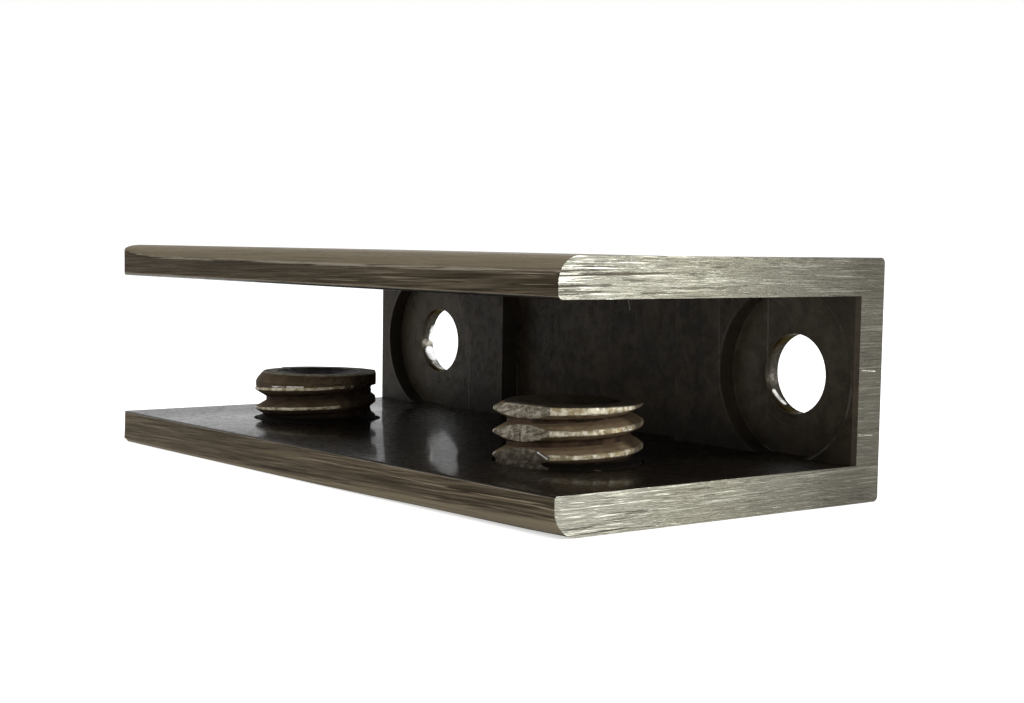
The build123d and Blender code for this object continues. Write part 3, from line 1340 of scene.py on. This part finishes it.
            face.smooth = True
        mesh = bpy.data.meshes.new(f"{self.node}_worn")
        work.to_mesh(mesh)
        work.free()
        mesh.set_sharp_from_angle(angle=self.sharp_angle)
        piece = bpy.data.objects.new(mesh.name, mesh)
        bpy.context.scene.collection.objects.link(piece)
        return piece

    def close(self, work: bmesh.types.BMesh, edge: Verts, tip: bool) -> None:
        """Close an end with rings that go inwards: the tip's cup, or the foot's hexagon socket.

        Args:
            work: The mesh.
            edge: The thread's end, one vertex for each column.
            tip: Whether it is the tip.
        """
        rim, half = self.cup_radius, self.socket_half
        mouth = half + self.socket_chamfer
        if tip:
            inner, end, deep, drop = rim, self.tip_height, 0.0, -self.cup_depth
            shares = (0.75, 0.5, 0.25, 0.05)
            rings = [
                (rim + 0.35 * MM, 0.0), (rim + 0.12 * MM, 0.0),
                (rim, -0.05 * MM), (rim - 0.2 * MM, -0.14 * MM),
            ]
        else:
            inner, end, deep, drop = half, self.bottom, self.socket_depth, self.drill_point
            shares = (0.75, 0.4, 0.05)
            rings = [
                (mouth + 0.3 * MM, 0.0), (mouth + 0.15 * MM, 0.0),
                (half, self.socket_chamfer), (half, self.socket_depth),
            ]
        rings += [(inner * share, deep + drop * (1 - share)) for share in shares]
        for radius, rise in (*rings, (0.0, deep + drop)):
            ring = []
            for column in range(self.columns if radius else 1):
                angle = math.tau * column / self.columns
                way = Vector((math.cos(angle), math.sin(angle), 0))
                reach, height = radius, end + rise
                if tip and radius:
                    rough = uneven(Vector((way.x * 4, way.y * 4, radius * 900)))
                    height += self.cup_roughness * rough
                elif radius == half:
                    reach /= math.cos((angle + math.pi / 6) % (math.pi / 3) - math.pi / 6)
                x, y = self.axis_x + reach * math.cos(angle), self.axis_y + reach * math.sin(angle)
                ring.append(work.verts.new((x, y, height)))
            for column in range(self.columns):
                after = (column + 1) % self.columns
                inside = ring[after % len(ring)], ring[column % len(ring)]
                corners = dict.fromkeys((edge[column], edge[after], *inside))
                work.faces.new(list(corners)).material_index = int(tip and rise < 0)
            edge = ring

    def dress(self, piece: bpy.types.Object, effects: Effects) -> None:
        """Give the screw its two materials: the steel, and the dull cup.

        Args:
            piece: The screw.
            effects: The shared node groups.
        """
        steel = ThreadSteel(
            name=f"{self.node}_steel", metallic=0.3, specular=0.12, marks=self.marks, screw=self
        )
        cup = CastWeb(
            f"{self.node}_cup", metallic=0.0, specular=0.03, base=self.cup_base,
            light=self.cup_light,
        )
        for finish in (steel, cup):
            piece.data.materials.append(finish.make(effects))

    def make(self, effects: Effects) -> None:
        """Build, dress and seat the screw.

        Args:
            effects: The shared node groups.
        """
        piece = self.build()
        self.dress(piece, effects)
        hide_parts(self.node)
        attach(piece, self.body)
        log.info("%s rides on %s with %d faces", piece.name, self.body, len(piece.data.polygons))


@dataclass
class Lamp:
    """One soft lamp: where it stands, what it looks at, its size and its power."""

    name: str
    place: Place
    target: Place
    size: float
    power: float

    def make(self) -> None:
        """Add the lamp."""
        data = bpy.data.lights.new(self.name, "AREA")
        data.shape = "DISK"
        data.size = self.size
        data.energy = self.power
        lamp = bpy.data.objects.new(self.name, data)
        lamp.location = self.place
        ahead = Vector(self.target) - Vector(self.place)
        lamp.rotation_euler = ahead.to_track_quat("-Z", "Y").to_euler()
        bpy.context.scene.collection.objects.link(lamp)


@dataclass
class Studio:
    """The pale floor, the white surroundings, the lamps and the photograph's camera."""

    lens: float = 60.23
    sensor: float = 36.0
    clip: Span = (0.01, 20.0)
    shift: tuple[float, float] = (0.02049, 0.03046)
    eye: Place = (99.72 * MM, -73.53 * MM, 16.575 * MM)
    right: Place = (0.60643885, 0.79500241, 0.01425106)
    down: Place = (0.07462331, -0.03906159, -0.99644646)
    ahead: Place = (-0.79162067, 0.60534731, -0.08301418)
    floor_reach: float = 4.0
    floor_height: float = -0.02 * MM
    floor_tone: float = 0.8
    floor_glow: float = 0.55
    ambient: float = 0.7
    lamps: list[Lamp] = field(default_factory=lambda: [
        Lamp("end_lamp", (0.45, 0.28, 0.12), (0.027, 0.0, 0.008), 0.22, 1.1),
        Lamp("top_lamp", (0.0, -0.1, 0.5), (0.0, 0.0, 0.0), 0.5, 1.6),
    ])

    def camera(self) -> None:
        """Set the camera as it was fitted to the photograph."""
        data = bpy.data.cameras.new("photo_camera")
        data.sensor_width = self.sensor
        data.lens = self.lens
        data.shift_x, data.shift_y = self.shift
        data.clip_start, data.clip_end = self.clip
        rows = (Vector(self.right), -Vector(self.down), -Vector(self.ahead))
        camera = bpy.data.objects.new("photo_camera", data)
        camera.matrix_world = Matrix.Translation(self.eye) @ Matrix(rows).transposed().to_4x4()
        bpy.context.scene.collection.objects.link(camera)
        bpy.context.scene.camera = camera

    @staticmethod
    def seen(pad: NodePad, *rays: str) -> Socket:
        """Tell the rays that show a thing from those that only light others by it.

        Args:
            pad: The pad on the tree.
            rays: The kinds of ray that show it, by their names on the Light Path node.

        Returns:
            1 for those kinds of ray, and 0 for the others.
        """
        path = pad.add("ShaderNodeLightPath")
        shown = path.outputs[rays[0]]
        for ray in rays[1:]:
            shown = pad.math("MAXIMUM", shown, path.outputs[ray])
        return shown

    def floor(self) -> None:
        """Lay the floor, which shows white where no shadow falls."""
        reach, height = self.floor_reach, self.floor_height
        corners = [(x, y, height) for x, y in (
            (-reach, -reach), (reach, -reach), (reach, reach), (-reach, reach),
        )]
        mesh = bpy.data.meshes.new("floor")
        mesh.from_pydata(corners, [], [(0, 1, 2, 3)])
        plane = bpy.data.objects.new("floor", mesh)
        bpy.context.scene.collection.objects.link(plane)
        material = bpy.data.materials.new("pale_floor")
        material.use_nodes = True
        pad = NodePad(material.node_tree)
        shader = material.node_tree.nodes["Principled BSDF"]
        glow = pad.times(self.seen(pad, "Is Camera Ray", "Is Glossy Ray"), self.floor_glow)
        for name, value in (
            ("Base Color", (self.floor_tone,) * 3), ("Roughness", 0.9),
            ("Specular IOR Level", 0.0), ("Emission Color", WHITE), ("Emission Strength", glow),
        ):
            pad.feed(shader.inputs[name], value)
        mesh.materials.append(material)

    def surroundings(self) -> None:
        """Make the world: white where it is seen or mirrored, softer as a light."""
        world = bpy.data.worlds.new("surroundings")
        world.use_nodes = True
        bpy.context.scene.world = world
        pad = NodePad(world.node_tree)
        back = world.node_tree.nodes["Background"]
        shown = self.seen(pad, "Is Camera Ray", "Is Glossy Ray", "Is Transmission Ray")
        pad.feed(back.inputs["Color"], WHITE)
        pad.feed(back.inputs["Strength"], pad.grade(shown, self.ambient, 1.0))

    def make(self) -> None:
        """Build the studio."""
        self.camera()
        self.floor()
        self.surroundings()
        for lamp in self.lamps:
            lamp.make()
        bpy.context.scene.view_settings.view_transform = "Standard"
        log.info("studio with %d lamps", len(self.lamps))


def near_screw() -> SetScrew:
    """Set up the near screw: worn flat towards the camera, with two marks on the flat.

    Returns:
        The screw.
    """
    return SetScrew(
        node="set_screw_near", body="near_screw", axis_x=15.4 * MM, tip_height=6.37 * MM,
        crest_height=0.34 * MM, flat_azimuth=math.radians(-86), flat_depth=0.8 * MM,
        torn_azimuth=0.0, torn_depth=0.04 * MM, filled_azimuth=0.0, filled=0.0,
        worn_down=0.15 * MM, shade=0.0, lit_azimuth=math.radians(-66), line=0.13,
        top_shade=0.92, cup_base=(0.021, 0.0168, 0.0112), cup_light=(0.05, 0.041, 0.028),
        marks=(
            Mark((17.2, -6.68, 3.4), (18.08, -6.62, 3.08), 0.065, BARE_METAL, 1.0, 0.35),
            Mark((15.53, -6.8, 4.62), (15.55, -6.8, 3.82), 0.07, (0.015, 0.01, 0.006), 0.9, 0.3),
        ),
    )


def far_screw() -> SetScrew:
    """Set up the far screw: torn on its right, clogged in front, with a lit line on one crest.

    Returns:
        The screw.
    """
    lit_line = (
        (-14.34, -7.42, 5.14), (-13.47, -7.14, 5.17), (-12.77, -6.76, 5.2), (-11.96, -6.1, 5.22),
    )
    return SetScrew(
        node="set_screw_far", body="far_screw", axis_x=-15.4 * MM, tip_height=6.12 * MM,
        crest_height=0.74 * MM, flat_azimuth=math.radians(58), flat_depth=0.35 * MM,
        torn_azimuth=math.radians(45), torn_depth=0.3 * MM,
        filled_azimuth=math.radians(-100), filled=1.0,
        worn_down=0.1 * MM, shade=0.6, lit_azimuth=math.radians(-82), line=0.06,
        top_shade=0.0, cup_base=(0.008, 0.0062, 0.0037), cup_light=(0.019, 0.015, 0.0095),
        marks=tuple(
            Mark(start, end, 0.075, (0.9, 0.86, 0.76), 0.9, 0.95)
            for start, end in zip(lit_line, lit_line[1:])
        ),
    )


def main() -> None:
    """Build the studio and the pieces."""
    logging.basicConfig(level=logging.INFO, format="%(name)s: %(message)s")
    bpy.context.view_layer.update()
    Studio().make()
    effects = Effects()
    for part in (ClampBody(), near_screw(), far_screw()):
        part.make(effects)


if __name__ == "__main__":
    main()
